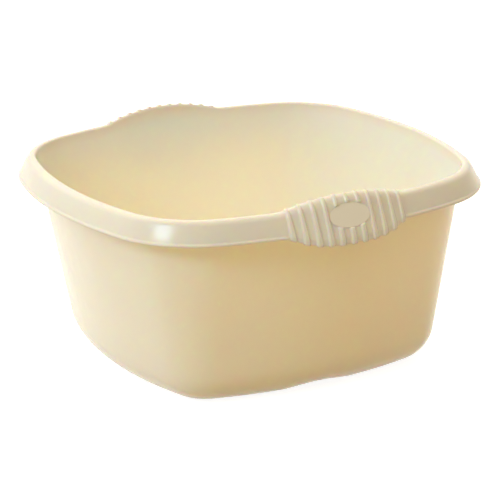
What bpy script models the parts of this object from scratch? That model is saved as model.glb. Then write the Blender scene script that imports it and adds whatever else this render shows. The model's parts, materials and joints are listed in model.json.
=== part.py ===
"""A square bowed plastic basin with a turned-down rim, two raised ribbed grips and two blank oval plates.

Metres, +Z up. The origin is on the surface that the basin stands on, under its middle.
The front grip is on the -Y side and the rear grip on the +Y side.
"""

import math
from collections import namedtuple

import bmesh
import bpy
from mathutils import Matrix, Vector

# Plan of the rim, measured at its crown, the highest line of the plain rim
CROWN_HALF_WIDTH = 0.1486
CROWN_HALF_DEPTH = 0.1460
SIDE_RADIUS = 0.3290
CORNER_RADIUS = 0.0673
WALL_FOOT_CORNER_RADIUS = 0.0361
LEAST_CORNER_RADIUS = 0.0120

# Walls: an inset is a distance inwards from the crown line, in plan
RIM_HEIGHT = 0.1522
WALL = 0.0018
WALL_TOP_INSET = 0.0013
WALL_FOOT_INSET = 0.0289
BASE_FILLET_RADIUS = 0.0290

# Foot: a flat ring round the floor, which stands on it a little raised
FOOT_WIDTH = 0.0080
FOOT_HEIGHT = 0.0025
FOOT_STEP_RUN = 0.0040
NOTCH_LENGTH = 0.0600
NOTCH_FADE_HEIGHT = 0.0120

# Rim: the wall flares out to the crown, and a band with a straight face turns down from it to a beaded lip
FLARE_DEPTH = 0.0210
FLARE_TOP_INSET = 0.0020
SHOULDER_DEPTH = 0.0020
CROWN_THICKNESS = 0.0034
CROWN_WIDTH = 0.0040
CROWN_ROUNDING = 0.0040
BAND_WALL = 0.0024
RIM_OVERHANG = 0.0116
RIM_DEPTH = 0.0169
BEAD_HEIGHT = 0.0024
BEAD_PROUD = 0.00075

# Grips: the crown rises and leans out, and the lip drops and swells
GRIP_REACH = 0.0500
GRIP_RISE = 0.0081
GRIP_LEAN = 0.0009
GRIP_DROP = 0.0082
GRIP_SWELL = 0.0060
RISE_LENGTH = 0.1000
DROP_LENGTH = 0.0940
FLARE_DIP = 0.0030
END_EASE_SHARE = 0.10

# Ribs across each grip: shares of the rib pitch from a rib's middle, and of its height
RIB_COUNT = 11
RIB_PITCH = 0.00905
RIB_HEIGHT = 0.0014
RIB_CREST_SHARE = 0.13
RIB_FOOT_SHARE = 0.29
CROWN_RIB_SHARE = 0.45
LIP_RIB_SHARE = 0.70

# Oval plates, each let into a flat pocket in the middle of a grip
OVAL_WIDTH = 0.0330
OVAL_HEIGHT = 0.0180
OVAL_DEPTH_BELOW_RIM = 0.0060
OVAL_TOP_SINK = 0.0002
OVAL_FOOT_PROUD = 0.0004
PLATE_THICKNESS = 0.0007
PLATE_CLEARANCE = 0.0003
PLATE_EDGE = 0.0002
CUTTER_OVERRUN = 0.0040

# Counts of flat facets. The shares are places of rings: of the bead, each with how proud it is there, and of
# the outer and the inner edge of the crown.
SIDE_FACETS = 4
CORNER_FACETS = 8
SHOULDER_FACETS = 3
FILLET_FACETS = 5
OVAL_FACETS = 48
BEAD_SHARES = ((0, 0.75), (0.40, 1), (0.80, 0.45))
CROWN_EDGE_SHARES = (0.25, 0.50, 0.75)
CROWN_SHARES = (0.55, 0)
SHARP_ANGLE = math.radians(35)

# One ring of the shell. lift, drop and dip are its shares of the grip's moves of the crown, lip and flare.
# rib and notch are its shares of the ribs' height and of the notches in the foot.
Ring = namedtuple("Ring", "inset height lift drop dip rib notch", defaults=(0,) * 5)


def blend(start, end, share):
    """The value that lies a share of the way from start to end."""
    return start + (end - start) * share


def eased(value):
    """value above zero and zero below it, with the corner between them rounded."""
    return (value + math.hypot(value, END_EASE_SHARE)) / 2


def wall_inset(height):
    """Inset of the outer wall face."""
    return blend(WALL_FOOT_INSET, WALL_TOP_INSET, height / RIM_HEIGHT)


WALL_DRAFT = math.atan2(WALL_FOOT_INSET - WALL_TOP_INSET, RIM_HEIGHT)
WALL_IN_PLAN = WALL / math.cos(WALL_DRAFT)
FLARE_HEIGHT = RIM_HEIGHT - FLARE_DEPTH
SHOULDER_HEIGHT = RIM_HEIGHT - SHOULDER_DEPTH
GROOVE_HEIGHT = RIM_HEIGHT - CROWN_THICKNESS
LIP_HEIGHT = RIM_HEIGHT - RIM_DEPTH
BEAD_TOP = LIP_HEIGHT + BEAD_HEIGHT
FACE_LEAN = math.atan2(RIM_OVERHANG - CROWN_WIDTH, RIM_HEIGHT - BEAD_TOP)
BAND_IN_PLAN = BAND_WALL / math.cos(FACE_LEAN)


def corner_radius(inset):
    """Corner radius of a ring: a plain offset outside the crown line, and a little tighter inside it."""
    if inset < 0:
        return CORNER_RADIUS - inset
    tightening = (CORNER_RADIUS - WALL_FOOT_CORNER_RADIUS) / WALL_FOOT_INSET
    return max(CORNER_RADIUS - inset * tightening, LEAST_CORNER_RADIUS)


def first_quarter_arcs(inset):
    """The X side, corner and Y side arcs of a ring, each as (centre x, centre y, radius, start, end)."""
    side = SIDE_RADIUS - inset
    corner = corner_radius(inset)
    x_centre = Vector((CROWN_HALF_WIDTH - SIDE_RADIUS, 0))
    y_centre = Vector((0, CROWN_HALF_DEPTH - SIDE_RADIUS))
    between = y_centre - x_centre
    middle = (x_centre + y_centre) / 2
    reach = math.sqrt((side - corner) ** 2 - between.length_squared / 4)
    corner_centre = middle + Vector((-between.y, between.x)).normalized() * reach
    start = math.atan2(corner_centre.y, corner_centre.x - x_centre.x)
    end = math.atan2(corner_centre.y - y_centre.y, corner_centre.x)
    return (
        (x_centre.x, 0, side, 0, start),
        (corner_centre.x, corner_centre.y, corner, start, end),
        (0, y_centre.y, side, end, math.pi / 2),
    )


def side_end(inset):
    """X at which a ring's Y side arc meets its corner arc."""
    _, _, radius, start, _ = first_quarter_arcs(inset)[2]
    return radius * math.cos(start)


def plan_point(inset, arc, place):
    """A point of a ring in the first quarter. place is a crown x on the Y side, else a share of the arc.

    Within a grip a column keeps its x on every ring, so that the ribs can slide out of their mould.
    """
    x, y, radius, start, end = first_quarter_arcs(inset)[arc]
    if arc < 2:
        angle = blend(start, end, place)
        return Vector((x + radius * math.cos(angle), y + radius * math.sin(angle)))
    across = place
    if place > GRIP_REACH:
        beyond = (place - GRIP_REACH) / (side_end(0) - GRIP_REACH)
        across = blend(GRIP_REACH, side_end(inset), beyond)
    return Vector((across, y + math.sqrt(radius**2 - across**2)))


def first_quarter_columns():
    """(arc, place) of each column from the +X axis to the +Y axis."""
    columns = [(0, i / SIDE_FACETS) for i in range(SIDE_FACETS)]
    columns += [(1, i / CORNER_FACETS) for i in range(CORNER_FACETS)]
    for i in range(SHOULDER_FACETS + 1):
        columns.append((2, blend(side_end(0), GRIP_REACH, i / SHOULDER_FACETS)))
    for rib in range((RIB_COUNT - 1) // 2, -1, -1):
        for share in (RIB_FOOT_SHARE, RIB_CREST_SHARE, -RIB_CREST_SHARE, -RIB_FOOT_SHARE):
            if rib + share > 0:
                columns.append((2, (rib + share) * RIB_PITCH))
    columns.append((2, 0))
    return columns


def all_columns():
    """The columns of the whole loop, counter-clockwise, as (arc, place, x sign, y sign)."""
    quarter = first_quarter_columns()
    loop = [(*column, 1, 1) for column in quarter]
    loop += [(*column, -1, 1) for column in quarter[-2::-1]]
    loop += [(*column, -1, -1) for column in quarter[1:]]
    loop += [(*column, 1, -1) for column in quarter[-2:0:-1]]
    return loop


def rib_height(x):
    """Height of the ribs at a place along the grip."""
    place = abs(x) / RIB_PITCH
    rib = round(place)
    if rib > (RIB_COUNT - 1) // 2:
        return 0
    slope = (RIB_FOOT_SHARE - abs(place - rib)) / (RIB_FOOT_SHARE - RIB_CREST_SHARE)
    return RIB_HEIGHT * min(max(slope, 0), 1)


def grip_rise(x):
    """How far the crown has risen at a place along the grip, from 0 to about 1."""
    return eased(1 - (2 * x / RISE_LENGTH) ** 2)


def grip_drop(x):
    """How far the lip has dropped at a place along the grip, from 0 to about 1."""
    return eased(1 - abs(2 * x / DROP_LENGTH) ** 3)


def notch_depth(x):
    """How far the foot is notched at a place along the front or rear side, from 0 to 1."""
    return max(1 - (2 * x / NOTCH_LENGTH) ** 2, 0) ** 2


def fillet_rings(radius, sign):
    """Rings round the base fillet, from the floor up for sign 1 and from the wall down for sign -1."""
    centre_inset = foot_start_inset()
    turn = math.pi / 2 - WALL_DRAFT
    rings = []
    for i in range(FILLET_FACETS + 1):
        angle = turn * i / FILLET_FACETS
        height = BASE_FILLET_RADIUS - radius * math.cos(angle)
        above_foot = BASE_FILLET_RADIUS * (1 - math.cos(angle))
        notch = max(1 - above_foot / NOTCH_FADE_HEIGHT, 0)
        rings.append(Ring(centre_inset - radius * math.sin(angle), height, notch=notch))
    return rings[::sign]


def foot_start_inset():
    """Inset at which the base fillet meets the ground."""
    return WALL_FOOT_INSET + BASE_FILLET_RADIUS * math.tan((math.pi / 2 - WALL_DRAFT) / 2)


def flare_inset(height):
    """Inset of the inner face of the flare."""
    share = (height - FLARE_HEIGHT) / (SHOULDER_HEIGHT - FLARE_HEIGHT)
    return blend(wall_inset(FLARE_HEIGHT) + WALL_IN_PLAN, FLARE_TOP_INSET, share)


def band_ring(out, height, rib=0):
    """A ring of the band. The higher it is, the more it lifts with the crown, and the less it drops."""
    lift = (height - LIP_HEIGHT) / RIM_DEPTH
    return Ring(-out, height, lift=lift, drop=1 - lift, rib=rib)


def face_out(height):
    """How far outside the crown line the band's straight face is, at a height."""
    return CROWN_WIDTH + (RIM_HEIGHT - height) * math.tan(FACE_LEAN)


def crown_edge_ring(share):
    """A ring of the crown's round outer edge, from the band's face at share 0 to the crown at share 1."""
    fall = CROWN_ROUNDING * math.cos(FACE_LEAN)
    out = (1 - share) ** 2 * face_out(RIM_HEIGHT - fall) + 2 * share * (1 - share) * CROWN_WIDTH
    return band_ring(out, RIM_HEIGHT - (1 - share) ** 2 * fall, rib=blend(1, CROWN_RIB_SHARE, share))


def crown_ring(share):
    """A ring of the round inner edge of the crown, from the flare at share 0 to the crown at share 1."""
    angle = share * math.pi / 2
    return band_ring(-FLARE_TOP_INSET * math.cos(angle), RIM_HEIGHT - SHOULDER_DEPTH * (1 - math.sin(angle)))


def rim_rings():
    """The rim from the outer end of the flare, down inside the band, round the bead and over the crown."""
    flare_share = (GROOVE_HEIGHT - FLARE_HEIGHT) / (SHOULDER_HEIGHT - FLARE_HEIGHT)
    groove_inset = flare_inset(GROOVE_HEIGHT) - WALL_IN_PLAN
    rings = [Ring(wall_inset(FLARE_HEIGHT), FLARE_HEIGHT, dip=1)]
    rings.append(Ring(groove_inset, GROOVE_HEIGHT, lift=flare_share, dip=1 - flare_share))
    rings += [band_ring(face_out(height) - BAND_IN_PLAN, height) for height in (GROOVE_HEIGHT, LIP_HEIGHT)]
    for up, proud in BEAD_SHARES:
        height = LIP_HEIGHT + BEAD_HEIGHT * up
        rings.append(band_ring(RIM_OVERHANG + BEAD_PROUD * proud, height, rib=LIP_RIB_SHARE))
    rings.append(band_ring(RIM_OVERHANG, BEAD_TOP, rib=1))
    rings += [crown_edge_ring(share) for share in (0, *CROWN_EDGE_SHARES, 1)]
    rings += [crown_ring(share) for share in CROWN_SHARES]
    rings.append(Ring(wall_inset(FLARE_HEIGHT) + WALL_IN_PLAN, FLARE_HEIGHT, dip=1))
    return rings


def shell_rings():
    """All rings of the shell, from the underside of the floor, over the rim, to the top of the floor."""
    foot_end_inset = foot_start_inset() + FOOT_WIDTH
    floor_inset = foot_end_inset + FOOT_STEP_RUN
    rings = [Ring(floor_inset, FOOT_HEIGHT), Ring(foot_end_inset, 0, notch=1)]
    rings += fillet_rings(BASE_FILLET_RADIUS, 1)
    rings += rim_rings()
    rings += fillet_rings(BASE_FILLET_RADIUS - WALL, -1)
    rings += [Ring(foot_end_inset, WALL, notch=1), Ring(floor_inset, FOOT_HEIGHT + WALL)]
    return rings


def grip_place(column):
    """How far along the grip a column stands: past the grip's end for the corners and the X sides."""
    arc, place = column[:2]
    return place if arc == 2 else side_end(0)


def section_point(ring, column):
    """A ring's place in a column, before its ribs: outward distance from the ring's own line, and height."""
    rise = grip_rise(grip_place(column))
    drop = grip_drop(grip_place(column))
    out = ring.lift * GRIP_LEAN * rise + ring.drop * GRIP_SWELL * drop
    height = ring.height + ring.lift * GRIP_RISE * rise - ring.drop * GRIP_DROP * drop
    height -= ring.dip * FLARE_DIP * rise
    if ring.notch:
        height += ring.notch * FOOT_HEIGHT * notch_depth(plan_point(ring.inset, *column[:2]).x)
    return out, height


def placed(ring, column, out, height):
    """The point of a column that lies a distance out from a ring's line, at a height."""
    arc, place, x_sign, y_sign = column
    point = plan_point(ring.inset - out, arc, place)
    return Vector((point.x * x_sign, point.y * y_sign, height))


def column_points(rings, column):
    """The points of one column, with the ribs raised square to the section."""
    plain = [section_point(ring, column) for ring in rings]
    rise = rib_height(grip_place(column))
    points = []
    for i, (ring, (out, height)) in enumerate(zip(rings, plain)):
        if ring.rib and rise:
            across = plain[i + 1][0] - rings[i + 1].inset - plain[i - 1][0] + rings[i - 1].inset
            along = plain[i + 1][1] - plain[i - 1][1]
            length = math.hypot(across, along)
            out += ring.rib * rise * along / length
            height -= ring.rib * rise * across / length
        points.append(placed(ring, column, out, height))
    return points


def make_material(name, colour, roughness):
    """A plain moulded plastic."""
    material = bpy.data.materials.new(name)
    material.use_nodes = True
    shader = material.node_tree.nodes["Principled BSDF"]
    shader.inputs["Base Color"].default_value = (*colour, 1)
    shader.inputs["Roughness"].default_value = roughness
    shader.inputs["Metallic"].default_value = 0
    return material


def add_object(name, mesh_builder, material=None):
    """Turns a bmesh into an object of the scene, shaded smooth except at its corners."""
    mesh = bpy.data.meshes.new(name)
    mesh_builder.to_mesh(mesh)
    mesh_builder.free()
    mesh.shade_smooth()
    mesh.set_sharp_from_angle(angle=SHARP_ANGLE)
    piece = bpy.data.objects.new(name, mesh)
    bpy.context.scene.collection.objects.link(piece)
    if material:
        mesh.materials.append(material)
    return piece


def make_shell(material):
    """The one-piece moulding: floor, foot, walls, rim and ribbed grips, bridged ring by ring."""
    rings = shell_rings()
    builder = bmesh.new()
    columns = [[builder.verts.new(p) for p in column_points(rings, c)] for c in all_columns()]
    for i, here in enumerate(columns):
        beside = columns[(i + 1) % len(columns)]
        for j in range(len(rings) - 1):
            builder.faces.new((here[j], beside[j], beside[j + 1], here[j + 1]))
    builder.faces.new([column[0] for column in reversed(columns)])
    builder.faces.new([column[-1] for column in columns])
    return add_object("basin_shell", builder, material)


def band_face_point(height):
    """The point at a height on the band's plain face, in the middle of the front grip."""
    column = (2, 0, 1, -1)
    rise = GRIP_RISE * grip_rise(0)
    drop = GRIP_DROP * grip_drop(0)
    lift = (height - LIP_HEIGHT + drop) / (RIM_DEPTH + rise + drop)
    ring_height = blend(LIP_HEIGHT, RIM_HEIGHT, lift)
    ring = band_ring(face_out(ring_height), ring_height)
    return placed(ring, column, *section_point(ring, column))


def oval_frame():
    """The front oval's frame: X along the grip, Y up the band, Z out, its origin on the plate's face."""
    middle = RIM_HEIGHT - OVAL_DEPTH_BELOW_RIM
    high = band_face_point(middle + OVAL_HEIGHT / 2)
    low = band_face_point(middle - OVAL_HEIGHT / 2)
    out = Vector((1, 0, 0)).cross(high - low).normalized()
    high = high - out * OVAL_TOP_SINK
    low = low + out * OVAL_FOOT_PROUD
    up = (high - low).normalized()
    out = Vector((1, 0, 0)).cross(up)
    turn = Matrix((Vector((1, 0, 0)), up, out)).transposed().to_4x4()
    return Matrix.Translation((high + low) / 2) @ turn


def oval_prism(half_width, half_height, low, high):
    """An upright prism with an oval outline."""
    builder = bmesh.new()
    bmesh.ops.create_cone(builder, cap_ends=True, segments=OVAL_FACETS, radius1=1, radius2=1, depth=1)
    size = Matrix.Diagonal((half_width, half_height, high - low, 1))
    lift = Matrix.Translation((0, 0, (low + high) / 2))
    bmesh.ops.transform(builder, matrix=lift @ size, verts=builder.verts)
    return builder


def make_plate(name, frame, material):
    """A blank oval plate with a small bevel round its face."""
    half_width = OVAL_WIDTH / 2 - PLATE_CLEARANCE
    half_height = OVAL_HEIGHT / 2 - PLATE_CLEARANCE
    builder = oval_prism(half_width, half_height, -PLATE_THICKNESS, 0)
    rim = [e for e in builder.edges if all(abs(v.co.z) < PLATE_EDGE / 2 for v in e.verts)]
    bmesh.ops.bevel(builder, geom=rim, offset=PLATE_EDGE, segments=1, affect="EDGES")
    plate = add_object(name, builder, material)
    plate.matrix_world = frame
    return plate


def cut_pocket(shell, name, frame):
    """Cuts an oval pocket into the shell, one clearance wider and deeper than the plate."""
    floor = -PLATE_THICKNESS - PLATE_CLEARANCE
    builder = oval_prism(OVAL_WIDTH / 2, OVAL_HEIGHT / 2, floor, CUTTER_OVERRUN)
    cutter = add_object(name, builder)
    cutter.matrix_world = frame
    cutter.hide_render = True
    cutter.display_type = "WIRE"
    cut = shell.modifiers.new(name, "BOOLEAN")
    cut.operation = "DIFFERENCE"
    cut.solver = "EXACT"
    cut.object = cutter


def main():
    for old in list(bpy.data.objects):
        bpy.data.objects.remove(old)
    cream = make_material("cream_plastic", (0.86, 0.78, 0.60), 0.35)
    plate_cream = make_material("cream_plate", (0.84, 0.76, 0.59), 0.45)
    shell = make_shell(cream)
    front = oval_frame()
    rear = Matrix.Rotation(math.pi, 4, "Z") @ front
    for side, frame in (("front", front), ("rear", rear)):
        cut_pocket(shell, f"{side}_pocket_cutter", frame)
        make_plate(f"{side}_oval_plate", frame, plate_cream)


main()
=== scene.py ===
# %% [markdown]
# # A cream washing-up basin
# The real object is one thin shell, moulded in a single shot of cream plastic. Its walls taper, its rim
# turns down into a band, and a ribbed grip stands up in the middle of the front and the rear. The packed
# model that this script loads holds the right sizes in coarse facets. The lesson here is how to lay a fine,
# smooth skin over such a model: every ring and rib is worked out again from the same few sizes, only much
# closer together.

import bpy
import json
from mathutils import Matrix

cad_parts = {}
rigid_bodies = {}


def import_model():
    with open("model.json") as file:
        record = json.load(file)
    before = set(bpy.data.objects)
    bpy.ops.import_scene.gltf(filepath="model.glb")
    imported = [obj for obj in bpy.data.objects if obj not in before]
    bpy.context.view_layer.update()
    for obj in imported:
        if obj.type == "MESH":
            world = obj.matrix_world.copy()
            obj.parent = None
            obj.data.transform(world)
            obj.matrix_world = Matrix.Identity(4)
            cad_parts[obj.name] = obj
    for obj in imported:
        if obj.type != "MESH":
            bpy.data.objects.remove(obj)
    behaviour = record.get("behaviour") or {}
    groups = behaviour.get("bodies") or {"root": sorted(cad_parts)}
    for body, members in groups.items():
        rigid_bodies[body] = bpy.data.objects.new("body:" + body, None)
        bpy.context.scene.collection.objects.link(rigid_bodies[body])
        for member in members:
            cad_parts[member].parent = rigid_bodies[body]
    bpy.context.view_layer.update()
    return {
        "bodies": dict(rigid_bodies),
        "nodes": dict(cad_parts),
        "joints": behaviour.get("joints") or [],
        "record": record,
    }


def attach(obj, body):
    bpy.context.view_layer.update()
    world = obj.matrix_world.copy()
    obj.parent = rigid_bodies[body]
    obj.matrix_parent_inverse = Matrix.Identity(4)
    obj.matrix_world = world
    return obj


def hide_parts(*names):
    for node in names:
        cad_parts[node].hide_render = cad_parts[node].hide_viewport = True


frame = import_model()

# %% Tools of the lesson
import json
import math

import bpy
import numpy as np
from mathutils import Matrix, Vector

MM = 0.001

# %% [markdown]
# ## The camera
# A picture taken from two metres away with a long lens keeps the bowl's sides nearly parallel. The camera
# is placed by turning and tilting round a point in the middle of the bowl, and rolled by a little over a
# degree, because the picture was not quite level. A small shift of the lens sets the bowl in the frame
# without turning the camera again.

# %% Camera
CAMERA_TURN, CAMERA_TILT, CAMERA_ROLL = (math.radians(d) for d in (-27.61, 17.57, 1.53))
CAMERA_DISTANCE = 2.149
CAMERA_AIM = Vector((0, 0, 0.07638))
LENS_MM = 201.91
LENS_SHIFT = (0.00264, 0.00441)


def make_camera():
    """The camera, from its turn round the bowl, its tilt above the floor and its roll."""
    back = Vector((
        math.sin(CAMERA_TURN) * math.cos(CAMERA_TILT),
        -math.cos(CAMERA_TURN) * math.cos(CAMERA_TILT),
        math.sin(CAMERA_TILT),
    ))
    level = Vector((math.cos(CAMERA_TURN), math.sin(CAMERA_TURN), 0))
    upright = back.cross(level)
    right = level * math.cos(CAMERA_ROLL) - upright * math.sin(CAMERA_ROLL)
    up = upright * math.cos(CAMERA_ROLL) + level * math.sin(CAMERA_ROLL)
    camera = bpy.data.objects.new("camera", bpy.data.cameras.new("camera"))
    bpy.context.scene.collection.objects.link(camera)
    turn = Matrix((right, up, back)).transposed().to_4x4()
    camera.matrix_world = Matrix.Translation(CAMERA_AIM + back * CAMERA_DISTANCE) @ turn
    camera.data.lens = LENS_MM
    camera.data.shift_x, camera.data.shift_y = LENS_SHIFT
    bpy.context.scene.camera = camera
    return camera


camera = make_camera()
print("the camera is", round(camera.location.length, 2), "m from the bowl's foot")

# %% [markdown]
# ## The plan: a bowed square
# Seen from above, each side of the basin is a shallow arc and each corner a tighter one, and they meet
# without a kink. A superellipse would give a similar shape with one formula, but its sides would be nearly
# straight in their middle, where a real moulding is bowed. Arcs keep both radii in our hands. A ring nearer
# to the middle of the bowl is the same figure with smaller radii, and an inset says how much smaller.

# %% Sizes of the plan
RIM_OVERHANG = 11.6 * MM
CROWN_HALF_WIDTH = 148.6 * MM
CROWN_HALF_DEPTH = 146.0 * MM
SIDE_RADIUS = 329.0 * MM
CORNER_RADIUS = 67.3 * MM
WALL_FOOT_CORNER_RADIUS = 36.1 * MM
LEAST_CORNER_RADIUS = 12.0 * MM
WALL_FOOT_INSET = 28.9 * MM
GRIP_REACH = 50.0 * MM
X_SIDE, CORNER, Y_SIDE = 0, 1, 2


def corner_radii(inset):
    """The corner radius at each inset: a plain offset outside the crown line, tighter inside it."""
    tightening = (CORNER_RADIUS - WALL_FOOT_CORNER_RADIUS) / WALL_FOOT_INSET
    inner = np.maximum(CORNER_RADIUS - inset * tightening, LEAST_CORNER_RADIUS)
    return np.where(inset < 0, CORNER_RADIUS - inset, inner)


def arc_ends(inset):
    """Where the two kinds of arc meet, for each inset: corner centre, and the angles there."""
    x_centre = CROWN_HALF_WIDTH - SIDE_RADIUS
    y_centre = CROWN_HALF_DEPTH - SIDE_RADIUS
    gap = math.hypot(x_centre, y_centre)
    reach = np.sqrt((SIDE_RADIUS - inset - corner_radii(inset)) ** 2 - gap**2 / 4)
    corner_x = x_centre / 2 - y_centre / gap * reach
    corner_y = y_centre / 2 - x_centre / gap * reach
    start = np.arctan2(corner_y, corner_x - x_centre)
    end = np.arctan2(corner_y - y_centre, corner_x)
    return corner_x, corner_y, start, end


crown_end = SIDE_RADIUS * math.cos(arc_ends(np.zeros(1))[3][0])
print("the front arc of the crown ends", round(crown_end / MM, 1), "mm from the middle")

# %% [markdown]
# ## Columns and rings
# The skin is a net. A ring runs once round the bowl, and a column runs from the middle of the underside, up
# the outside, over the rim and down to the middle of the floor. Columns stand close together only in the
# grips, where ribs need them, and there each keeps one x all the way down, as a rib does that has to slide
# out of its mould. Everywhere else a column keeps its share of the arc.

# %% Columns round the bowl
X_SIDE_STEPS, CORNER_STEPS, SHOULDER_STEPS = 14, 26, 14
GRIP_STEP = 0.45 * MM


def quarter_columns():
    """(arc, place) of each column from +X to +Y. On the Y side a place is an x, else a share of the arc."""
    grip_steps = round(GRIP_REACH / GRIP_STEP)
    shoulder = np.linspace(crown_end, GRIP_REACH, SHOULDER_STEPS, endpoint=False)
    columns = [(X_SIDE, i / X_SIDE_STEPS) for i in range(X_SIDE_STEPS)]
    columns += [(CORNER, i / CORNER_STEPS) for i in range(CORNER_STEPS)]
    columns += [(Y_SIDE, x) for x in shoulder]
    columns += [(Y_SIDE, x) for x in np.linspace(GRIP_REACH, 0, grip_steps + 1)]
    return columns


def all_columns():
    """Arcs, places and signs of every column of the loop, counter-clockwise from above."""
    quarter = quarter_columns()
    loop = [(*c, 1, 1) for c in quarter] + [(*c, -1, 1) for c in quarter[-2::-1]]
    loop += [(*c, -1, -1) for c in quarter[1:]] + [(*c, 1, -1) for c in quarter[-2:0:-1]]
    return np.array(loop).T


ARC, PLACE, X_SIGN, Y_SIGN = all_columns()
GRIP_X = np.where(ARC == Y_SIDE, PLACE, crown_end)
print(len(ARC), "columns")


# %% Points of a ring
def ring_points(inset):
    """X and Y of every column on a ring, for one inset a column."""
    corner_x, corner_y, start, end = arc_ends(inset)
    side = SIDE_RADIUS - inset
    side_angle = start * PLACE
    corner_angle = start + (end - start) * PLACE
    side_end = side * np.cos(end)
    stretch = (side_end - GRIP_REACH) / (crown_end - GRIP_REACH)
    across = np.where(PLACE < GRIP_REACH, PLACE, GRIP_REACH + (PLACE - GRIP_REACH) * stretch)
    x = np.choose(ARC.astype(int), (
        CROWN_HALF_WIDTH - SIDE_RADIUS + side * np.cos(side_angle),
        corner_x + corner_radii(inset) * np.cos(corner_angle),
        across,
    ))
    y = np.choose(ARC.astype(int), (
        side * np.sin(side_angle),
        corner_y + corner_radii(inset) * np.sin(corner_angle),
        CROWN_HALF_DEPTH - SIDE_RADIUS + np.sqrt(np.maximum(side**2 - across**2, 0)),
    ))
    return x * X_SIGN, y * Y_SIGN


crown_x, crown_y = ring_points(np.zeros(len(ARC)))
print("the crown line is", [round(2 * half.max() / MM, 1) for half in (crown_x, crown_y)], "mm across")

# %% [markdown]
# ## The section: a path with rounded corners
# Cut the bowl from its middle outwards and the cut face is a thin ribbon. Its outline is written as a path
# of stations. Besides its inset and height, a station says how much it takes part in each thing that the
# grips do: lift with the crown, drop with the lip, dip with the line where the wall flares, carry ribs, or
# follow the notch in the foot. It also says how far the bead stands out there. A moulding has no sharp edge,
# so each corner of the path is cut off and replaced by a small curve. A bevel modifier would do the same
# after the fact, but here the curve comes with the path.
#
# The band leans outwards as it comes down, tucks in a little more and more, and ends in a small round bead
# that stiffens the lip.

# %% Sizes of the section
RIM_HEIGHT = 152.2 * MM
WALL = 1.8 * MM
WALL_TOP_INSET = 1.3 * MM
BASE_FILLET_RADIUS = 29.0 * MM
FOOT_WIDTH = 8.0 * MM
FOOT_HEIGHT = 2.5 * MM
FOOT_STEP_RUN = 4.0 * MM
NOTCH_LENGTH = 60.0 * MM
NOTCH_FADE_HEIGHT = 12.0 * MM
FLARE_DEPTH = 21.0 * MM
FLARE_TOP_INSET = 2.0 * MM
FLARE_ROUNDING = 7.0 * MM
SHOULDER_DEPTH = 2.0 * MM
CROWN_THICKNESS = 3.4 * MM
BAND_WALL = 2.4 * MM
RIM_DEPTH = 16.9 * MM
CROWN_WIDTH = 4.0 * MM
CROWN_ROUNDING = 4.0 * MM
BEAD_HEIGHT = 2.4 * MM
FACE_TUCK = 0.7 * MM
BEAD_PROUD = 0.7 * MM
BEAD_SHARES = ((0, 0.75), (0.2, 0.97), (0.4, 1), (0.6, 0.9), (0.8, 0.45))  # how far up it, how proud there

wall_draft = math.atan2(WALL_FOOT_INSET - WALL_TOP_INSET, RIM_HEIGHT)
wall_in_plan = WALL / math.cos(wall_draft)
flare_height = RIM_HEIGHT - FLARE_DEPTH
shoulder_height = RIM_HEIGHT - SHOULDER_DEPTH
groove_height = RIM_HEIGHT - CROWN_THICKNESS
lip_height = RIM_HEIGHT - RIM_DEPTH
bead_top = lip_height + BEAD_HEIGHT
face_lean = math.atan2(RIM_OVERHANG - CROWN_WIDTH, RIM_HEIGHT - bead_top)
band_in_plan = BAND_WALL / math.cos(face_lean)
print("wall and band lean", [round(math.degrees(lean), 1) for lean in (wall_draft, face_lean)], "degrees")


# %% Stations
RIB_COLUMN = 5


def station(inset, height, lift=0.0, drop=0.0, dip=0.0, rib=0.0, notch=0.0, bead=0.0, rounding=0.0):
    """One corner of the path and how far back from it the rounding starts."""
    return np.array((inset, height, lift, drop, dip, rib, notch, bead)), rounding


def wall_inset(height):
    """Inset of the outer face of the wall."""
    return WALL_FOOT_INSET + (WALL_TOP_INSET - WALL_FOOT_INSET) * height / RIM_HEIGHT


def flare_inset(height):
    """Inset of the inner face of the flare."""
    share = (height - flare_height) / (shoulder_height - flare_height)
    foot = wall_inset(flare_height) + wall_in_plan
    return foot + (FLARE_TOP_INSET - foot) * share


def band_station(out, height, rib=0.0, bead=0.0, rounding=0.0):
    """A station on the band. The higher it is, the more it lifts with the crown, and the less it drops."""
    lift = (height - lip_height) / RIM_DEPTH
    return station(-out, height, lift=lift, drop=1 - lift, rib=rib, bead=bead, rounding=rounding)


def face_out(height):
    """How far out the band's face is at a height, before it is tucked in."""
    return CROWN_WIDTH + (RIM_HEIGHT - height) * math.tan(face_lean)


def face_tuck(height):
    """How far the face is tucked in at a height, more and more towards the bead."""
    return FACE_TUCK * ((RIM_HEIGHT - height) / (RIM_HEIGHT - bead_top)) ** 3


def fillet_stations(radius, steps=18):
    """The rounded base edge, from the floor up, for the outer or the inner face."""
    turn = math.pi / 2 - wall_draft
    centre = WALL_FOOT_INSET + BASE_FILLET_RADIUS * math.tan(turn / 2)
    path = []
    for angle in np.linspace(0, turn, steps):
        above_foot = BASE_FILLET_RADIUS * (1 - math.cos(angle))
        notch = max(1 - above_foot / NOTCH_FADE_HEIGHT, 0)
        height = BASE_FILLET_RADIUS - radius * math.cos(angle)
        path.append(station(centre - radius * math.sin(angle), height, notch=notch))
    return path


foot_start_inset = fillet_stations(BASE_FILLET_RADIUS)[0][0][0]
foot_end_inset = foot_start_inset + FOOT_WIDTH
floor_inset = foot_end_inset + FOOT_STEP_RUN
print("the foot ring is", round(2 * (CROWN_HALF_WIDTH - foot_start_inset) / MM, 1), "mm across")

# %% [markdown]
# ## From the underside to the floor in one path
# The outside goes up from the foot, out along the flare, down inside the band, round the lip with its bead,
# up the face of the band and over the crown. The inside comes back down. Ribs have their full height from
# the lip to the top of the band's face, and run out softly over the crown.

# %% Path of the section
CROWN_RIB_SHARE = 0.6
FACE_STEPS, CROWN_STEPS, SHOULDER_TURN_STEPS = 12, 14, 8
EDGE = 0.5 * MM


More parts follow.
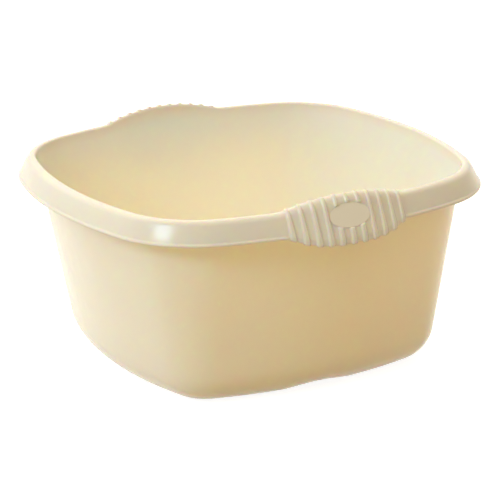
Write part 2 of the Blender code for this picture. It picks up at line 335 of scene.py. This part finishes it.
def outside_path():
    """From the underside of the floor to the groove behind the band."""
    flare_share = (groove_height - flare_height) / (shoulder_height - flare_height)
    groove_inset = flare_inset(groove_height) - wall_in_plan
    return [
        station(floor_inset, FOOT_HEIGHT),
        station(foot_end_inset, 0, notch=1, rounding=EDGE),
        *fillet_stations(BASE_FILLET_RADIUS),
        station(wall_inset(flare_height), flare_height, dip=1, rounding=FLARE_ROUNDING),
        station(groove_inset, groove_height, lift=flare_share, dip=1 - flare_share, rounding=2 * EDGE),
    ]


def rim_path():
    """Down inside the band, round the bead, up the band's face and over the crown."""
    path = [
        band_station(face_out(groove_height) - band_in_plan, groove_height, rounding=2 * EDGE),
        band_station(face_out(lip_height) - band_in_plan, lip_height, rounding=EDGE),
    ]
    for up, proud in BEAD_SHARES:
        height = lip_height + BEAD_HEIGHT * up
        path.append(band_station(RIM_OVERHANG, height, rib=1, bead=BEAD_PROUD * proud))
    edge_height = RIM_HEIGHT - CROWN_ROUNDING * math.cos(face_lean)
    for height in np.linspace(bead_top, edge_height, FACE_STEPS):
        path.append(band_station(face_out(height), height, rib=1, bead=-face_tuck(height)))
    for t in np.linspace(0, 1, CROWN_STEPS)[1:]:
        out = (1 - t) ** 2 * face_out(edge_height) + 2 * t * (1 - t) * CROWN_WIDTH
        height = RIM_HEIGHT - (1 - t) ** 2 * (RIM_HEIGHT - edge_height)
        path.append(band_station(out, height, rib=1 + (CROWN_RIB_SHARE - 1) * t))
    for angle in np.linspace(math.pi / 2, 0, SHOULDER_TURN_STEPS)[1:]:
        out = -FLARE_TOP_INSET * math.cos(angle)
        path.append(band_station(out, RIM_HEIGHT - SHOULDER_DEPTH * (1 - math.sin(angle))))
    return path


def inside_path():
    """Down the inner face from the flare to the floor."""
    return [
        station(wall_inset(flare_height) + wall_in_plan, flare_height, dip=1, rounding=FLARE_ROUNDING),
        *fillet_stations(BASE_FILLET_RADIUS - WALL)[::-1],
        station(foot_end_inset, WALL, notch=1, rounding=EDGE),
        station(floor_inset, FOOT_HEIGHT + WALL),
    ]


corners = outside_path() + rim_path() + inside_path()
print(len(corners), "corners on the path")


# %% Round the corners and fill the runs
MOST_CUT_SHARE = 0.49


def rounded_path(corners, steps=5):
    """The path with every corner that has a rounding replaced by a short quadratic curve."""
    path = [corners[0][0]]
    for (before, _), (corner, rounding), (after, _) in zip(corners, corners[1:], corners[2:]):
        if not rounding:
            path.append(corner)
            continue
        near, far = (
            corner + (other - corner) * min(rounding / np.hypot(*(other - corner)[:2]), MOST_CUT_SHARE)
            for other in (before, after)
        )
        for t in np.linspace(0, 1, steps):
            path.append((1 - t) ** 2 * near + 2 * t * (1 - t) * corner + t**2 * far)
    return np.array(path + [corners[-1][0]])


def filled_path(path, wall_step=7 * MM, rib_step=0.6 * MM):
    """The path with its long runs divided, finely where ribs need it."""
    dense = [path[0]]
    for here, there in zip(path, path[1:]):
        ribbed = here[RIB_COLUMN] > 0 or there[RIB_COLUMN] > 0
        steps = max(math.ceil(np.hypot(*(there - here)[:2]) / (rib_step if ribbed else wall_step)), 1)
        dense += [here + (there - here) * i / steps for i in range(1, steps + 1)]
    return np.array(dense)


section = filled_path(rounded_path(corners))
INSET, HEIGHT, LIFT, DROP, DIP, RIB, NOTCH, BEAD = (column[:, None] for column in section.T)
print(len(section), "stations,", len(section) * len(ARC), "points")

# %% [markdown]
# ## What the grips do
# Along a grip the crown rises and leans out, the lip drops and swells, and the line of the flare dips. Each
# move is one smooth hump. A hump that simply stopped at zero would leave a kink there, so its foot is eased
# with a hyperbola, a trick that needs no extra points. The bead and the tuck above it fade out at the ends
# of the grips, because the ribs run right down to the lip there.

# %% Grip shapes
GRIP_RISE = 7.85 * MM
GRIP_LEAN = 0.9 * MM
GRIP_DROP = 8.2 * MM
GRIP_SWELL = 6.0 * MM
FLARE_DIP = 3.0 * MM
RISE_HALF_LENGTH = 50.0 * MM
DROP_HALF_LENGTH = 47.0 * MM
END_EASE_SHARE = 0.10
BEAD_START = 45.0 * MM
BEAD_FADE = 7.0 * MM


def eased(value):
    """The value above zero and zero below it, with the corner between them rounded."""
    return (value + np.hypot(value, END_EASE_SHARE)) / 2


def smooth(value):
    """A soft step from 0 to 1."""
    value = np.clip(value, 0, 1)
    return value * value * (3 - 2 * value)


rise = eased(1 - (GRIP_X / RISE_HALF_LENGTH) ** 2)
drop = eased(1 - np.abs(GRIP_X / DROP_HALF_LENGTH) ** 3)
beaded = smooth((np.abs(GRIP_X) - BEAD_START) / BEAD_FADE)
out = LIFT * GRIP_LEAN * rise + DROP * GRIP_SWELL * drop + BEAD * beaded
height = HEIGHT + LIFT * GRIP_RISE * rise - DROP * GRIP_DROP * drop - DIP * FLARE_DIP * rise
print("over the grips the crown stands", round(height.max() / MM, 1), "mm high")

# %% [markdown]
# ## The ribs
# Eleven ribs cross each grip. They are low and soft: a rounded flank on each side, a narrow crest, and more
# width at the lip than at the crown. Ribs drawn with a texture would vanish at the edge of the bowl, where
# they notch its outline, so they are real. Each point is pushed out square to the section, by the height
# that the rib has there.

# %% Ribs
RIB_COUNT = 11
RIB_PITCH = 9.05 * MM
RIB_HEIGHT = 1.4 * MM
RIB_CREST_SHARE = 0.13
RIB_FOOT_SHARE = 0.29
CROWN_SPREAD_SHARE = 0.65


def rib_profile(x, spread):
    """The height of the ribs at an x, from 0 to 1, for a spread of their width."""
    rib = np.minimum(np.round(np.abs(x) / RIB_PITCH), (RIB_COUNT - 1) // 2)
    off = np.abs(np.abs(x) / RIB_PITCH - rib) / spread
    return smooth((RIB_FOOT_SHARE - off) / (RIB_FOOT_SHARE - RIB_CREST_SHARE))


spread = CROWN_SPREAD_SHARE + (1 - CROWN_SPREAD_SHARE) * DROP
rib = RIB * RIB_HEIGHT * rib_profile(GRIP_X[None, :], spread)
along_out = np.gradient(out - INSET, axis=0)
along_height = np.gradient(height, axis=0)
length = np.hypot(along_out, along_height)
out = out + rib * along_height / length
height = height - rib * along_out / length
print("ribs add up to", round(rib.max() / MM, 2), "mm")


# %% Place the net
def notch_depth(x):
    """How far the foot is notched at an x of the front and rear, from 0 to 1."""
    return np.maximum(1 - (2 * x / NOTCH_LENGTH) ** 2, 0) ** 2


def place_net():
    """X, Y and Z of each point, as an array of stations by columns by three."""
    net = np.zeros((len(section), len(ARC), 3))
    for i, (ring_out, ring_height) in enumerate(zip(out, height)):
        x, y = ring_points(INSET[i] - ring_out)
        front = np.where(ARC == Y_SIDE, notch_depth(x), 0)
        net[i] = np.stack((x, y, ring_height + NOTCH[i] * FOOT_HEIGHT * front), axis=1)
    return net


net = place_net()
print("the net is", [round(v / MM, 1) for v in net.reshape(-1, 3).max(0)], "mm at its farthest")

# %% [markdown]
# ## The oval field
# In the middle of each grip a smooth oval interrupts three ribs. It is a separate blank plate, seated in a
# shallow pocket. The pocket is pressed into the net: points inside the oval are pushed straight back to the
# pocket's floor, and just outside it they ease back to the band. A Boolean cut would leave a crisper edge,
# but also long thin faces that shade badly on a curved skin.

# %% Place of the oval
OVAL_HALF_WIDTH = 16.5 * MM
OVAL_HALF_HEIGHT = 9.0 * MM
OVAL_DEPTH_BELOW_RIM = 6.0 * MM
OVAL_TOP_SINK = 0.2 * MM
OVAL_FOOT_PROUD = 0.4 * MM
POCKET_DEPTH = 1.0 * MM
POCKET_LIP_DEPTH = 0.25 * MM
POCKET_LIP_WIDTH = 1.1 * MM
POCKET_EDGE = 0.5 * MM
LEAST_RATIO = 0.01


def band_face_point(height):
    """The point at a height in the middle of the front grip, on the face that the ribs stand on."""
    raised, lowered = GRIP_RISE * rise.max(), GRIP_DROP * drop.max()
    lift = (height - lip_height + lowered) / (RIM_DEPTH + raised + lowered)
    plain = face_out(lip_height + lift * RIM_DEPTH)
    out = plain + lift * GRIP_LEAN * rise.max() + (1 - lift) * GRIP_SWELL * drop.max()
    return Vector((0, -CROWN_HALF_DEPTH - out, height))


def oval_frame():
    """The front oval's frame: X along the grip, Y up the band, Z out of it."""
    middle = RIM_HEIGHT - OVAL_DEPTH_BELOW_RIM
    high, low = (band_face_point(middle + side * OVAL_HALF_HEIGHT) for side in (1, -1))
    facing = Vector((1, 0, 0)).cross(high - low).normalized()
    high, low = high - facing * OVAL_TOP_SINK, low + facing * OVAL_FOOT_PROUD
    up = (high - low).normalized()
    turn = Matrix((Vector((1, 0, 0)), up, Vector((1, 0, 0)).cross(up))).transposed().to_4x4()
    return Matrix.Translation((high + low) / 2) @ turn


front_frame = oval_frame()
rear_frame = Matrix.Rotation(math.pi, 4, "Z") @ front_frame
print("the front oval is at", [round(v / MM, 1) for v in front_frame.translation])


# %% Press the pockets in
def press_pocket(net, frame, side):
    """Pushes the ribbed face of one grip back to the floor of its oval pocket."""
    face = (RIB > 0) & (Y_SIGN * side > 0)[None, :] & (GRIP_X < GRIP_REACH)[None, :]
    turn = np.array(frame.to_3x3())
    local = (net[face] - np.array(frame.translation)) @ turn
    reach = np.hypot(local[:, 0], local[:, 1])
    ratio = np.hypot(local[:, 0] / OVAL_HALF_WIDTH, local[:, 1] / OVAL_HALF_HEIGHT)
    outside = reach * (1 - 1 / np.maximum(ratio, LEAST_RATIO))
    pressed = 1 - smooth(outside / POCKET_EDGE)
    depth = POCKET_LIP_DEPTH + (POCKET_DEPTH - POCKET_LIP_DEPTH) * smooth(-outside / POCKET_LIP_WIDTH)
    local[:, 2] += (-depth - local[:, 2]) * pressed
    net[face] = local @ turn.T + np.array(frame.translation)


press_pocket(net, front_frame, -1)
press_pocket(net, rear_frame, 1)
print("two pockets,", round(2 * OVAL_HALF_WIDTH / MM), "by", round(2 * OVAL_HALF_HEIGHT / MM), "mm")

# %% [markdown]
# ## Close the net into a shell
# Quads join each point with its neighbours. The two open ends of the path, under and above the floor, close
# with rings that shrink to one point. The underside also gets the small stub that every such moulding has in
# its middle, where the plastic was let in. Each point is marked with how far it belongs to the thick rim,
# because light scatters less deep there, and the rim is painted a darker cream there as painted shade.

# %% Shell mesh
FLOOR_SHARES = (0.9, 0.75, 0.6, 0.45, 0.3, 0.15)
GATE_SHARES = ((1.4, 0), (1.1, 0), (1.0, 0.6), (0.85, 1), (0.5, 1))  # of its radius, and of its height
GATE_RADIUS = 3.2 * MM
GATE_HEIGHT = 0.7 * MM
THICK_FROM_SHARE = 0.7


def floor_rings(ring, gate):
    """Rings that carry a floor on from the last ring of the net to its middle."""
    size = ring[:, 0].max()
    steps = [(share, 0) for share in FLOOR_SHARES]
    steps += [(GATE_RADIUS * share / size, depth) for share, depth in GATE_SHARES]
    rings = []
    for share, depth in steps:
        shrunk = ring * (share, share, 1)
        shrunk[:, 2] -= gate * depth * GATE_HEIGHT
        rings.append(shrunk)
    return rings


def mesh_from_net(name, rings):
    """A closed mesh from rings of equal length, its first and last ring drawn together to a point."""
    count, width = len(rings), len(rings[0])
    points = np.concatenate(rings)
    ends = np.array([rings[0].mean(0), rings[-1].mean(0)])
    here = np.arange(count * width).reshape(count, width)
    beside = np.roll(here, -1, axis=1)
    quads = np.stack((here[:-1], beside[:-1], beside[1:], here[1:]), axis=2).reshape(-1, 4)
    below = [(b, a, count * width) for a, b in zip(here[0], beside[0])]
    above = [(a, b, count * width + 1) for a, b in zip(here[-1], beside[-1])]
    mesh = bpy.data.meshes.new(name)
    mesh.from_pydata(np.concatenate((points, ends)).tolist(), [], quads.tolist() + below + above)
    mesh.shade_smooth()
    mesh.validate()
    piece = bpy.data.objects.new(name, mesh)
    bpy.context.scene.collection.objects.link(piece)
    return piece


outer_floor, inner_floor = floor_rings(net[0], gate=1)[::-1], floor_rings(net[-1], gate=0)
shell = mesh_from_net("moulded_shell", outer_floor + list(net) + inner_floor)
thick = np.zeros((len(outer_floor) + len(net) + len(inner_floor), len(ARC)))
rimmed = smooth((LIFT + DROP - THICK_FROM_SHARE) / (1 - THICK_FROM_SHARE))
thick[len(outer_floor):-len(inner_floor)] = rimmed
mark = shell.data.attributes.new("thick_rim", "FLOAT", "POINT")
mark.data.foreach_set("value", np.append(thick.ravel(), (0, 0)))
print(len(shell.data.polygons), "faces")

# %% [markdown]
# ## The blank plates
# Each plate is a thin oval with a softly rounded edge and a face that is very slightly crowned, as a thin
# plate is when it has cooled. It is made of rings too, from the middle of its back over the edge to the
# middle of its face.

# %% Plates
PLATE_THICKNESS = 0.7 * MM
PLATE_GAP = 0.05 * MM
PLATE_ROUNDING = 0.16 * MM
PLATE_BACK_TAPER = 1.4 * MM
PLATE_CROWN = 0.06 * MM
PLATE_POINTS = 144
PLATE_EDGE_STEPS = 6
PLATE_FACE_SHARES = (0.98, 0.94, 0.88, 0.8, 0.65, 0.45, 0.2)


def plate_ring(shrink, z):
    """One oval ring of a plate, a distance inside its outline."""
    turn = np.linspace(0, 2 * math.pi, PLATE_POINTS, endpoint=False)
    x = (OVAL_HALF_WIDTH - PLATE_GAP - shrink) * np.cos(turn)
    y = (OVAL_HALF_HEIGHT - PLATE_GAP - shrink) * np.sin(turn)
    return np.stack((x, y, np.full_like(x, z)), axis=1)


def make_plate(name, frame):
    """A blank oval plate in its pocket, its back tapered to clear the pocket's lip."""
    back_ring = plate_ring(PLATE_BACK_TAPER, -PLATE_THICKNESS)
    back = [back_ring * (share, share, 1) for share in PLATE_FACE_SHARES[::-1]]
    edge = [back_ring]
    for angle in np.linspace(0, math.pi / 2, PLATE_EDGE_STEPS):
        edge.append(plate_ring(
            PLATE_ROUNDING * (1 - math.cos(angle)),
            PLATE_ROUNDING * (math.sin(angle) - 1),
        ))
    face = [
        edge[-1] * (share, share, 1) + (0, 0, PLATE_CROWN * (1 - share**2))
        for share in PLATE_FACE_SHARES
    ]
    plate = mesh_from_net(name, back + edge + face)
    plate.data.transform(frame)
    return plate


front_plate = make_plate("front_blank_plate", front_frame)
rear_plate = make_plate("rear_blank_plate", rear_frame)
print("plates of", len(front_plate.data.polygons), "faces")

# %% [markdown]
# ## Cream plastic
# Thin cream plastic is not a painted surface. Light sinks in, scatters and comes out warmer, also on the far
# side of the wall, which is why the shaded front of the bowl glows yellow while the thicker rim stays pale.
# Subsurface scattering does this in a renderer: its radius says how far each colour travels, and its scale
# how far that is in metres. Red goes farthest and blue stops first. That proportion is the same all over, so
# it is set on the shader itself. The scale is short on the rim and longer on the walls. On the rim the base
# colour is also a darker cream: painted shade, standing in for the thick rim's weaker glow. The finish
# varies
# too: a satin that is a little duller in places, a fine grain, and long shallow waves left by cooling.

# %% Node helpers
def new_material(name, colour, roughness):
    """A new material and its shader."""
    material = bpy.data.materials.new(name)
    material.use_nodes = True
    shader = material.node_tree.nodes["Principled BSDF"]
    shader.inputs["Base Color"].default_value = (*colour, 1)
    shader.inputs["Roughness"].default_value = roughness
    return material, shader


def add_noise(tree, scale, detail):
    """Noise in the object's own coordinates. The scale is how many lumps there are to a metre."""
    place = tree.nodes.new("ShaderNodeTexCoord")
    noise = tree.nodes.new("ShaderNodeTexNoise")
    noise.inputs["Scale"].default_value = scale
    noise.inputs["Detail"].default_value = detail
    tree.links.new(place.outputs["Object"], noise.inputs["Vector"])
    return noise.outputs["Fac"]


def add_range(tree, value, low, high, to_low, to_high):
    """Maps a value from one range to another, softly at both ends."""
    ranged = tree.nodes.new("ShaderNodeMapRange")
    ranged.interpolation_type = "SMOOTHSTEP"
    limits = {"From Min": low, "From Max": high, "To Min": to_low, "To Max": to_high}
    for socket, number in limits.items():
        ranged.inputs[socket].default_value = number
    tree.links.new(value, ranged.inputs["Value"])
    return ranged.outputs["Result"]


def add_math(tree, operation, first, second):
    """A sum or the like of two values. Each is a number or the output of another node."""
    node = tree.nodes.new("ShaderNodeMath")
    node.operation = operation
    for socket, value in zip(node.inputs, (first, second)):
        if isinstance(value, float):
            socket.default_value = value
        else:
            tree.links.new(value, socket)
    return node.outputs[0]


def add_mix(tree, share, first, second):
    """Blends two colours. Each is three numbers or the output of another node."""
    mix = tree.nodes.new("ShaderNodeMix")
    mix.data_type = "RGBA"
    tree.links.new(share, mix.inputs["Factor"])
    for socket, colour in (("A", first), ("B", second)):
        if isinstance(colour, tuple):
            mix.inputs[socket].default_value = (*colour, 1)
        else:
            tree.links.new(colour, mix.inputs[socket])
    return mix.outputs["Result"]


def add_bump(tree, height, distance, before=None):
    """Bump from a height of 0 to 1, over a real distance in metres, on top of a bump before it."""
    bump = tree.nodes.new("ShaderNodeBump")
    bump.inputs["Distance"].default_value = distance
    tree.links.new(height, bump.inputs["Height"])
    if before:
        tree.links.new(before, bump.inputs["Normal"])
    return bump.outputs["Normal"]


print("node helpers are ready")

# %% Shell plastic
SHELL_CREAM = (0.905, 0.835, 0.72)
SHELL_DEEP_CREAM = (0.895, 0.815, 0.695)
# The rim's cream is darker than the walls': painted shade for the thick rim, which lets less light glow
# through.
RIM_PAINTED_SHADE_CREAM = (0.87, 0.79, 0.65)
SCATTER_RADIUS = (1.0, 0.6, 0.12)
WALL_SCATTER, RIM_SCATTER = 4.5 * MM, 0.6 * MM
PLASTIC_IOR = 1.49
SHELL_ROUGHNESS = (0.18, 0.26)
CLOUDS_TO_METRE, SATIN_TO_METRE, WAVES_TO_METRE, GRAINS_TO_METRE = 9, 60, 22, 2600
WAVE_HEIGHT, GRAIN_HEIGHT = 0.25 * MM, 0.012 * MM


def shell_plastic():
    """Satin cream plastic that lets light through where it is thin, with a painted shade on the thick rim.
    """
    material, shader = new_material("cream_plastic_fine", SHELL_CREAM, SHELL_ROUGHNESS[0])
    tree = material.node_tree
    shader.inputs["IOR"].default_value = PLASTIC_IOR
    shader.inputs["Subsurface Weight"].default_value = 1.0
    shader.inputs["Subsurface Radius"].default_value = SCATTER_RADIUS
    thick = tree.nodes.new("ShaderNodeAttribute")
    thick.attribute_name = "thick_rim"
    depth = add_range(tree, thick.outputs["Fac"], 0, 1, WALL_SCATTER, RIM_SCATTER)
    tree.links.new(depth, shader.inputs["Subsurface Scale"])
    cloud = add_noise(tree, CLOUDS_TO_METRE, detail=3)
    clouded = add_mix(tree, add_range(tree, cloud, 0.35, 0.65, 0, 1), SHELL_CREAM, SHELL_DEEP_CREAM)
    # The thick rim gets the darker cream, a painted shade.
    rimmed = add_mix(tree, thick.outputs["Fac"], clouded, RIM_PAINTED_SHADE_CREAM)
    tree.links.new(rimmed, shader.inputs["Base Color"])
    satin = add_noise(tree, SATIN_TO_METRE, detail=4)
    tree.links.new(add_range(tree, satin, 0.3, 0.7, *SHELL_ROUGHNESS), shader.inputs["Roughness"])
    waves = add_bump(tree, add_noise(tree, WAVES_TO_METRE, detail=1), WAVE_HEIGHT)
    grain = add_bump(tree, add_noise(tree, GRAINS_TO_METRE, detail=2), GRAIN_HEIGHT, waves)
    tree.links.new(grain, shader.inputs["Normal"])
    return material


cream = shell_plastic()
shell.data.materials.append(cream)
print("the shell is", cream.name)

# %% Plate plastic
PLATE_CREAM = (0.93, 0.83, 0.66)
PLATE_ROUGHNESS = (0.44, 0.56)
PLATE_SATIN_TO_METRE, PLATE_GRAINS_TO_METRE = 300, 3200
PLATE_GRAIN_HEIGHT = 0.03 * MM


def plate_plastic():
    """The same cream with a fine matt grain."""
    material, shader = new_material("cream_plate_fine", PLATE_CREAM, PLATE_ROUGHNESS[0])
    tree = material.node_tree
    shader.inputs["IOR"].default_value = PLASTIC_IOR
    satin = add_noise(tree, PLATE_SATIN_TO_METRE, detail=4)
    tree.links.new(add_range(tree, satin, 0.3, 0.7, *PLATE_ROUGHNESS), shader.inputs["Roughness"])
    grain = add_bump(tree, add_noise(tree, PLATE_GRAINS_TO_METRE, detail=3), PLATE_GRAIN_HEIGHT)
    tree.links.new(grain, shader.inputs["Normal"])
    return material


plate_cream = plate_plastic()
for plate in (front_plate, rear_plate):
    plate.data.materials.append(plate_cream)
print("the plates are", plate_cream.name)

# %% [markdown]
# ## A white studio
# The bowl stands on white with hardly a shadow. Lighting a floor until it clips would also burn the bowl
# out, so the floor adds a glow of its own that only the camera and reflections see. The light that falls on
# it still makes the soft contact shadow, and its bounce lights the lower walls. The light itself is a large
# warm ceiling and a paler backdrop behind the bowl, both painted in the world by direction. Lamps could
# stand in for them, but a world has no edges that would show up in the gloss.

# %% Floor and world
FLOOR_HALF_SIZE = 8.0
FLOOR_COLOUR = (0.50, 0.45, 0.36)
FLOOR_GLOW = 0.9
FLOOR_ROUGHNESS = 0.9
WHITE = (1.0, 1.0, 1.0)
CEILING_TINT = (1.0, 0.90, 0.70)
CEILING_GLOW = 1.08
CEILING_RISE = (0.1, 0.9)  # how far up a direction points where the ceiling starts, and where it is full
BACKDROP_GLOW = 1.2
BACKDROP_RISE = (0.0, 0.8)  # and the same for how far back


def seen_directly(tree):
    """1 for rays from the camera and for reflected or refracted ones, and 0 for the rest."""
    path = tree.nodes.new("ShaderNodeLightPath")
    first = add_math(tree, "MAXIMUM", path.outputs["Is Camera Ray"], path.outputs["Is Glossy Ray"])
    return add_math(tree, "MAXIMUM", first, path.outputs["Is Transmission Ray"])


def make_floor():
    """A wide floor that glows to the camera and in reflections, and keeps the shadow."""
    signs = ((-1, -1), (1, -1), (1, 1), (-1, 1))
    corners = [(x * FLOOR_HALF_SIZE, y * FLOOR_HALF_SIZE, 0) for x, y in signs]
    mesh = bpy.data.meshes.new("studio_floor")
    mesh.from_pydata(corners, [], [(0, 1, 2, 3)])
    floor = bpy.data.objects.new("studio_floor", mesh)
    bpy.context.scene.collection.objects.link(floor)
    material, shader = new_material("studio_white", FLOOR_COLOUR, FLOOR_ROUGHNESS)
    tree = material.node_tree
    shader.inputs["Specular IOR Level"].default_value = 0
    shader.inputs["Emission Color"].default_value = (*WHITE, 1)
    glow = add_math(tree, "MULTIPLY", seen_directly(tree), FLOOR_GLOW)
    tree.links.new(glow, shader.inputs["Emission Strength"])
    mesh.materials.append(material)
    return floor


def make_world():
    """White to the camera and in reflections, and otherwise a warm ceiling and a pale backdrop."""
    world = bpy.data.worlds.new("studio")
    bpy.context.scene.world = world
    world.use_nodes = True
    tree = world.node_tree
    background = tree.nodes["Background"]
    place = tree.nodes.new("ShaderNodeTexCoord")
    split = tree.nodes.new("ShaderNodeSeparateXYZ")
    tree.links.new(place.outputs["Generated"], split.inputs["Vector"])
    above = add_range(tree, split.outputs["Z"], *CEILING_RISE, 0, CEILING_GLOW)
    behind = add_range(tree, split.outputs["Y"], *BACKDROP_RISE, 0, 1)
    direct = seen_directly(tree)
    neutral = add_math(tree, "MAXIMUM", direct, behind)
    tree.links.new(add_mix(tree, neutral, CEILING_TINT, WHITE), background.inputs["Color"])
    level = add_math(tree, "ADD", above, add_math(tree, "MULTIPLY", behind, BACKDROP_GLOW))
    lit = add_math(tree, "MULTIPLY", level, add_math(tree, "SUBTRACT", 1.0, direct))
    tree.links.new(add_math(tree, "ADD", lit, direct), background.inputs["Strength"])


floor = make_floor()
make_world()
bpy.context.scene.view_settings.view_transform = "Standard"
print("floor and sky are white")

# %% [markdown]
# ## The lamp
# One cool lamp stands to the left and a little to the front, like a window. It makes the left wall and the
# rim there the palest part of the bowl, and its reflection is the one bright spot on the band.

# %% Lamp
KEY_SIZE = 0.75
KEY_COLOUR = (0.61, 0.79, 1.0)
KEY_POWER = 21.5
KEY_PLACE = Vector((-2.13, -0.61, 1.45))


key = bpy.data.objects.new("key", bpy.data.lights.new("key", "AREA"))
key.data.shape = "SQUARE"
key.data.size = KEY_SIZE
key.data.energy = KEY_POWER
key.data.color = KEY_COLOUR
key.location = KEY_PLACE
key.rotation_euler = (KEY_PLACE - CAMERA_AIM).to_track_quat("Z", "Y").to_euler()
bpy.context.scene.collection.objects.link(key)
print("one key lamp of", KEY_POWER, "W")

# %% [markdown]
# ## Hand over to the imported model
# Each new piece rides on the model's body, and the coarse piece that it stands for is hidden.

# %% Ride and replace
for piece, node, finish in (
    (shell, "basin_shell", "cream_plastic"),
    (front_plate, "front_oval_plate", "cream_plate"),
    (rear_plate, "rear_oval_plate", "cream_plate"),
):
    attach(piece, "root")
    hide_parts(node)
print("three pieces ride on the root body")
